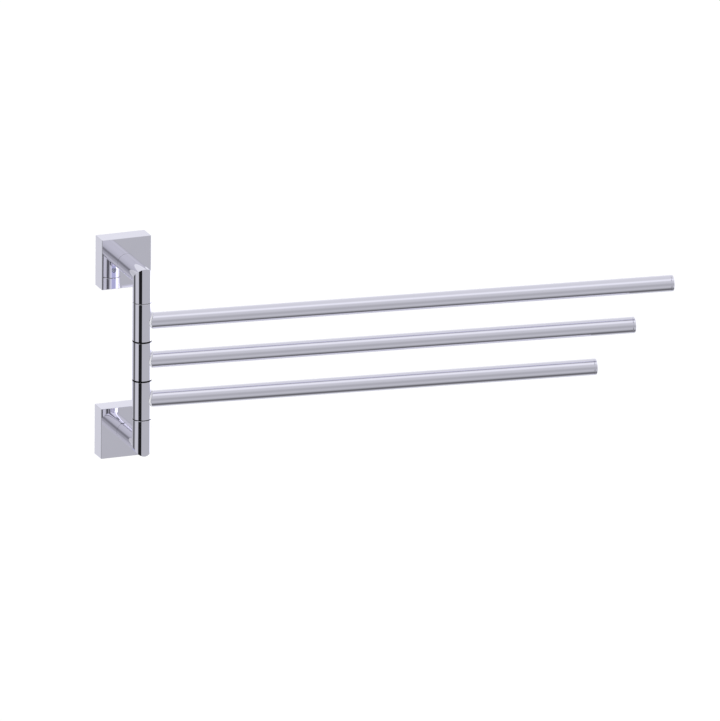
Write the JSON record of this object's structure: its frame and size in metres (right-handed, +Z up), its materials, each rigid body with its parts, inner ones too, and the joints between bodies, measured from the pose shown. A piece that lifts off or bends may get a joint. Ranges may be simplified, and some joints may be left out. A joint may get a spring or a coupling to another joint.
{
  "type": "swing arm towel bar",
  "caption": "Wall-mounted towel rail with square rosettes, a round mitred post and stepped round bars that swing independently about it.",
  "frame": {"origin": "on the wall plane, midway between the two rosettes and at the centre of the four wall screw holes", "axes": "+Y into the wall, +X along the wall to the right, towards the bars' free ends, +Z up"},
  "size_m": [0.5617, 0.1309, 0.226],
  "materials": {
    "chrome": "mirror-polished chrome plate",
    "zinc_steel": "zinc-plated sheet steel",
    "steel_screw": "plain stainless steel",
    "steel_rod": "ground stainless steel",
    "black_nylon": "black nylon",
    "white_acetal": "natural acetal"
  },
  "bodies": {
    "wall_mount": {"upper_wall_bracket": "zinc_steel", "upper_rosette": "chrome", "upper_rosette_grub_screw": "steel_screw", "upper_arm_screw": "steel_screw", "upper_arm_screw_washer": "steel_screw", "upper_elbow": "chrome", "upper_spindle_grub_screw": "steel_screw", "lower_wall_bracket": "zinc_steel", "lower_rosette": "chrome", "lower_rosette_grub_screw": "steel_screw", "lower_arm_screw": "steel_screw", "lower_arm_screw_washer": "steel_screw", "lower_elbow": "chrome", "lower_spindle_grub_screw": "steel_screw", "spindle": "steel_rod", "top_shim_washer": "steel_rod", "upper_bearing_washer": "black_nylon", "lower_bearing_washer": "black_nylon", "bottom_shim_washer": "black_nylon"},
    "long_arm": {"long_arm_hub": "chrome", "long_arm_upper_bush": "white_acetal", "long_arm_lower_bush": "white_acetal", "long_arm_stud": "steel_screw", "long_arm_collar": "chrome", "long_arm_root_washer": "white_acetal", "long_arm_tube": "chrome", "long_arm_end_cap": "chrome"},
    "middle_arm": {"middle_arm_hub": "chrome", "middle_arm_upper_bush": "white_acetal", "middle_arm_lower_bush": "white_acetal", "middle_arm_stud": "steel_screw", "middle_arm_collar": "chrome", "middle_arm_root_washer": "white_acetal", "middle_arm_tube": "chrome", "middle_arm_end_cap": "chrome"},
    "short_arm": {"short_arm_hub": "chrome", "short_arm_upper_bush": "white_acetal", "short_arm_lower_bush": "white_acetal", "short_arm_stud": "steel_screw", "short_arm_collar": "chrome", "short_arm_root_washer": "white_acetal", "short_arm_tube": "chrome", "short_arm_end_cap": "chrome"}
  },
  "joints": [
    {"name": "long_arm_swing", "type": "hinge", "parent": "wall_mount", "child": "long_arm", "pos_m": [0, -0.063, 0.0404], "axis": [0, 0, -1], "range_deg": [-6.4, 173.6]},
    {"name": "middle_arm_swing", "type": "hinge", "parent": "wall_mount", "child": "middle_arm", "pos_m": [0, -0.063, 0], "axis": [0, 0, -1], "range_deg": [-6.4, 173.6]},
    {"name": "short_arm_swing", "type": "hinge", "parent": "wall_mount", "child": "short_arm", "pos_m": [0, -0.063, -0.0404], "axis": [0, 0, -1], "range_deg": [-6.4, 173.6]}
  ]
}
